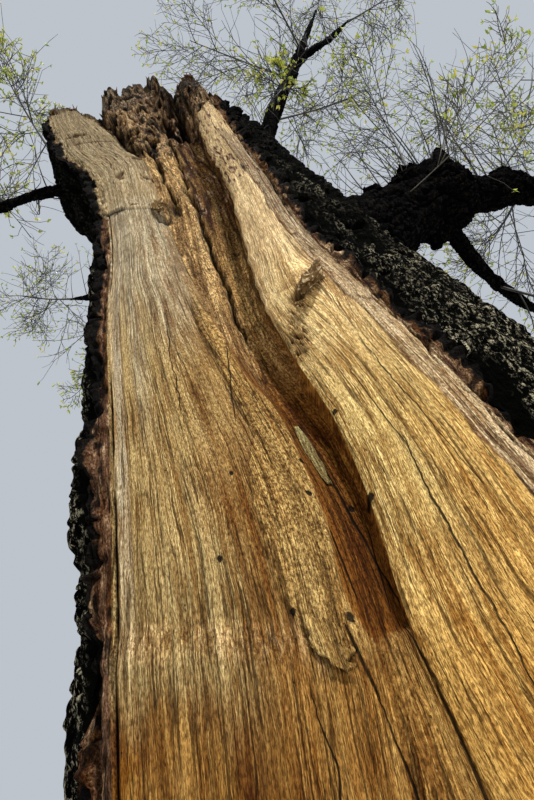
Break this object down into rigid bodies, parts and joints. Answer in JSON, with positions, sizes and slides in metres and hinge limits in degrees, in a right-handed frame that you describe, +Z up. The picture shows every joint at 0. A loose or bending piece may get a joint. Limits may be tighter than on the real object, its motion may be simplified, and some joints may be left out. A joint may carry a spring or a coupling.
{
  "type": "torn old tree",
  "caption": "Old broad-leaved tree with its trunk torn lengthwise to a tall face of bare wood, a rotten heart and a jagged broken top; a bough and slim limbs still carry spring shoots.",
  "frame": {"origin": "middle of the flat cut at ground level under the trunk", "axes": "+Z up the trunk; the torn face of bare wood looks along -Y; the living bough stands out towards +X"},
  "size_m": [7.5807, 4.4796, 11.5169],
  "materials": {
    "wood": "bare torn wood with near-black furrowed bark round it",
    "bark": "near-black rough bark with lichen",
    "twigs": "dark slim twigs with small yellow-green spring leaves"
  },
  "bodies": {
    "root": {"trunk": "wood", "bough_root": "bark", "broken_stub": "bark", "bough_arm": "bark", "bough_underside_branch": "bark", "slim_upper_limb": "bark", "slim_side_limb": "bark", "left_branch": "bark", "back_limb": "bark", "back_side_limb": "bark", "rear_limb": "bark", "knob_shoots": "twigs", "stub_shoots": "twigs", "arm_inner_shoots": "twigs", "arm_outer_shoots": "twigs", "arm_end_twigs": "twigs", "arm_hanging_twigs": "twigs", "arm_rear_shoots": "twigs", "bough_front_shoots": "twigs", "bough_rear_shoots": "twigs", "underside_twigs": "twigs", "underside_hanging_twigs": "twigs", "slim_limb_top": "twigs", "slim_limb_left": "twigs", "slim_limb_hanging": "twigs", "slim_limb_front": "twigs", "slim_side_twigs": "twigs", "slim_limb_low": "twigs", "back_limb_top": "twigs", "back_limb_inner": "twigs", "back_side_end": "twigs", "back_side_low": "twigs", "rear_limb_top": "twigs", "rear_limb_side": "twigs", "left_branch_end": "twigs", "left_branch_shoots": "twigs", "left_tip_shoots": "twigs"}
  },
  "joints": []
}
